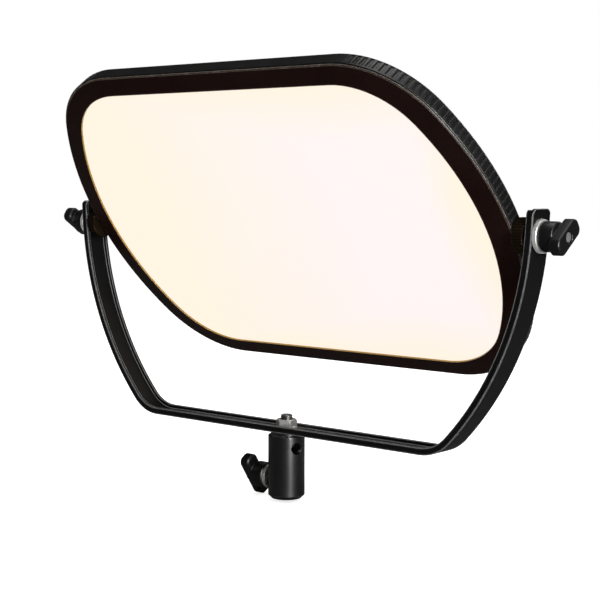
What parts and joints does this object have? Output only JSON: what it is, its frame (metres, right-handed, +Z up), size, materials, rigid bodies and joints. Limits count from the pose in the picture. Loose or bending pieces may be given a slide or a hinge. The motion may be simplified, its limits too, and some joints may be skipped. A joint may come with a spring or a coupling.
{
  "type": "led panel light",
  "caption": "Slim edge-lit LED panel with bowed sides, tilting in a U-shaped yoke with wing knobs and a 16 mm stand socket.",
  "frame": {"origin": "centre of the stand socket's mouth", "axes": "+Z up along the socket bore, -Y the way the light shines, +X to the right of someone facing the diffuser"},
  "size_m": [0.4812, 0.1697, 0.3274],
  "materials": {
    "yoke_paint": "satin black powder coat",
    "socket_paint": "satin black paint on turned metal",
    "zinc": "zinc plated steel",
    "knob_plastic": "black moulded nylon, satin",
    "brass": "turned brass, darkened",
    "cover_plastic": "black moulded plastic, fine grain",
    "contact_gold": "plated spring contact",
    "button_plastic": "dark grey moulded plastic",
    "frame_plastic": "black ribbed moulding, satin",
    "bezel_plastic": "near black with a warm cast, satin",
    "diffuser": "opal acrylic, lit warm white",
    "clear_acrylic": "clear acrylic",
    "white_film": "white film",
    "plate_aluminium": "mill finish",
    "led_board": "white solder mask",
    "led_phosphor": "yellow phosphor in a white cup",
    "black_screw": "black oxide steel",
    "housing_plastic": "black moulded plastic, satin",
    "display_glass": "clear glossy window",
    "display_face": "dark liquid crystal cell",
    "circuit_board": "green solder mask",
    "component": "black moulded component",
    "dial_plastic": "black fluted plastic",
    "rocker_plastic": "black glossy plastic"
  },
  "bodies": {
    "bracket": {"yoke_bracket": "yoke_paint", "stand_socket": "socket_paint", "socket_bolt": "zinc", "socket_nut": "zinc", "socket_washer": "zinc", "pivot_washer_left": "zinc", "pivot_washer_right": "zinc"},
    "panel": {"pivot_spacer_left": "brass", "pivot_spacer_right": "brass", "battery_plate_left": "cover_plastic", "battery_plate_right": "cover_plastic", "battery_contacts_left": "contact_gold", "battery_contacts_right": "contact_gold", "side_frame": "frame_plastic", "front_bezel": "bezel_plastic", "diffuser_sheet": "diffuser", "light_guide": "clear_acrylic", "reflector_sheet": "white_film", "back_plate": "plate_aluminium", "led_board_top": "led_board", "led_board_bottom": "led_board", "led_row_top": "led_phosphor", "led_row_bottom": "led_phosphor", "rear_cover": "cover_plastic", "rear_cover_screws": "black_screw", "control_housing": "housing_plastic", "display_window": "display_glass", "display_module": "display_face", "control_board": "circuit_board", "encoder_cases": "plate_aluminium", "button_switches": "component", "rocker_frame": "rocker_plastic", "power_inlet": "rocker_plastic", "driver_board": "circuit_board", "driver_parts": "component", "radio_module": "circuit_board"},
    "clamp": {"clamp_knob": "knob_plastic", "clamp_screw": "zinc"},
    "knob_left": {"tilt_knob_left": "knob_plastic", "tilt_stud_left": "zinc"},
    "knob_right": {"tilt_knob_right": "knob_plastic", "tilt_stud_right": "zinc"},
    "dial_brightness": {"brightness_dial": "dial_plastic", "brightness_shaft": "zinc"},
    "dial_colour": {"colour_dial": "dial_plastic", "colour_shaft": "zinc"},
    "key_mode": {"mode_button": "button_plastic"},
    "key_channel": {"channel_button": "button_plastic"},
    "key_menu": {"menu_button": "button_plastic"},
    "rocker": {"power_rocker": "rocker_plastic"},
    "latch_left": {"battery_latch_left": "button_plastic"},
    "latch_right": {"battery_latch_right": "button_plastic"}
  },
  "joints": [
    {"name": "tilt", "type": "hinge", "parent": "bracket", "child": "panel", "pos_m": [0, 0, 0.2059], "axis": [1, 0, 0], "range_deg": [-205, 135]},
    {"name": "knob_left_turn", "type": "hinge", "parent": "bracket", "child": "knob_left", "pos_m": [-0.2189, 0, 0.2059], "axis": [-1, 0, 0], "range_deg": [0, 180]},
    {"name": "knob_right_turn", "type": "hinge", "parent": "bracket", "child": "knob_right", "pos_m": [0.2189, 0, 0.2059], "axis": [1, 0, 0], "range_deg": [0, 180]},
    {"name": "clamp_turn", "type": "hinge", "parent": "bracket", "child": "clamp", "pos_m": [-0.014, 0, 0.0142], "axis": [-1, 0, 0], "range_deg": [0, 180]},
    {"name": "brightness_turn", "type": "hinge", "parent": "panel", "child": "dial_brightness", "pos_m": [-0.05, 0.02172, 0.23644], "axis": [0, 0.81, 0.5864], "continuous": true},
    {"name": "colour_turn", "type": "hinge", "parent": "panel", "child": "dial_colour", "pos_m": [0.05, 0.02172, 0.23644], "axis": [0, 0.81, 0.5864], "continuous": true},
    {"name": "mode_press", "type": "slide", "parent": "panel", "child": "key_mode", "axis": [0, -0.81, -0.5864], "range_m": [0, 0.0008], "stiffness_N_per_m": 400, "springref_m": -0.0004},
    {"name": "channel_press", "type": "slide", "parent": "panel", "child": "key_channel", "axis": [0, -0.81, -0.5864], "range_m": [0, 0.0008], "stiffness_N_per_m": 400, "springref_m": -0.0004},
    {"name": "menu_press", "type": "slide", "parent": "panel", "child": "key_menu", "axis": [0, -0.81, -0.5864], "range_m": [0, 0.0008], "stiffness_N_per_m": 400, "springref_m": -0.0004},
    {"name": "rocker_throw", "type": "hinge", "parent": "panel", "child": "rocker", "pos_m": [0.07381, 0.03275, 0.20245], "axis": [0, 0.81, 0.5864], "range_deg": [-16, 0]},
    {"name": "latch_left_press", "type": "slide", "parent": "panel", "child": "latch_left", "axis": [0, -0.81, -0.5864], "range_m": [0, 0.002], "stiffness_N_per_m": 400, "springref_m": -0.001},
    {"name": "latch_right_press", "type": "slide", "parent": "panel", "child": "latch_right", "axis": [0, -0.81, -0.5864], "range_m": [0, 0.002], "stiffness_N_per_m": 400, "springref_m": -0.001}
  ]
}
